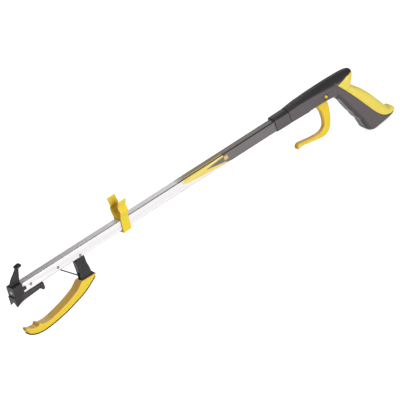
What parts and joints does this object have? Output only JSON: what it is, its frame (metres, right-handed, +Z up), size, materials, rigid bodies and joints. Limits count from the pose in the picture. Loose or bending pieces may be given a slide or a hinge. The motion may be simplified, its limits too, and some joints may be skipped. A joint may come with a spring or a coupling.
{
  "type": "reacher grabber",
  "caption": "Long-reach hand grabber: rectangular shaft with a hooked fixed tip, a hinged curved jaw pulled by a cord, a walking-stick clip and a trigger in a pistol grip.",
  "frame": {"origin": "centre of the tip magnet's front face, on the shaft's centre line", "axes": "+X along the shaft towards the grip, +Z up, away from the jaw and the grip, +Y to the user's right"},
  "size_m": [0.6609, 0.0272, 0.1241],
  "materials": {
    "shaft": "satin anodised",
    "label": "printed film",
    "black_plastic": "moulded, fine texture",
    "magnet": "nickel plated",
    "pins": "plain",
    "pad_rubber": "serrated",
    "spring": "drawn wire",
    "cord": "braided",
    "yellow_plastic": "moulded, satin gloss",
    "handle_plastic": "moulded, satin",
    "grip_rubber": "soft, matte",
    "screws": "zinc plated"
  },
  "bodies": {
    "frame": {"shaft_tube": "shaft", "shaft_label": "label", "end_cap": "black_plastic", "tip_magnet": "magnet", "cap_rivet": "pins", "fixed_jaw_pad": "pad_rubber", "jaw_pivot_pin": "pins", "jaw_spring": "spring", "front_cord_pin": "pins", "rear_cord_bend": "cord", "rear_cord_pin": "pins", "handle_shell_left": "handle_plastic", "handle_shell_right": "handle_plastic", "nose_collar": "handle_plastic", "grip_inlay": "grip_rubber", "handle_screws": "screws", "shaft_pin": "pins"},
    "jaw": {"jaw_core": "black_plastic", "jaw_arm": "yellow_plastic", "jaw_cord_ferrule": "pins"},
    "jaw_line": {"jaw_cord": "cord"},
    "shaft_line": {"pull_cord": "cord"},
    "trigger": {"trigger": "yellow_plastic", "trigger_pin": "yellow_plastic", "trigger_cord": "cord", "trigger_cord_ferrule": "pins"},
    "clip": {"stick_clip": "yellow_plastic"}
  },
  "joints": [
    {"name": "trigger_squeeze", "type": "hinge", "parent": "frame", "child": "trigger", "pos_m": [0.5602, 0, -0.0005], "axis": [0, -1, 0], "range_deg": [0, 28.5]},
    {"name": "jaw_close", "type": "hinge", "parent": "frame", "child": "jaw", "pos_m": [0.1186, 0, -0.005], "axis": [0, 1, 0], "range_deg": [0, 20.4]},
    {"name": "jaw_line_pull", "type": "slide", "parent": "frame", "child": "jaw_line", "axis": [-0.7257, 0, 0.688], "range_m": [0, 0.0101]},
    {"name": "shaft_line_pull", "type": "slide", "parent": "frame", "child": "shaft_line", "axis": [1, 0, 0], "range_m": [0, 0.0101]},
    {"name": "stick_clip_slide", "type": "slide", "parent": "frame", "child": "clip", "axis": [1, 0, 0], "range_m": [-0.055, 0.085]}
  ],
  "couplings": [
    {"joint": "jaw_close", "follows": "trigger_squeeze", "ratio": 0.7158},
    {"joint": "jaw_line_pull", "follows": "trigger_squeeze", "m_per_rad": 0.02},
    {"joint": "shaft_line_pull", "follows": "trigger_squeeze", "m_per_rad": 0.02}
  ]
}
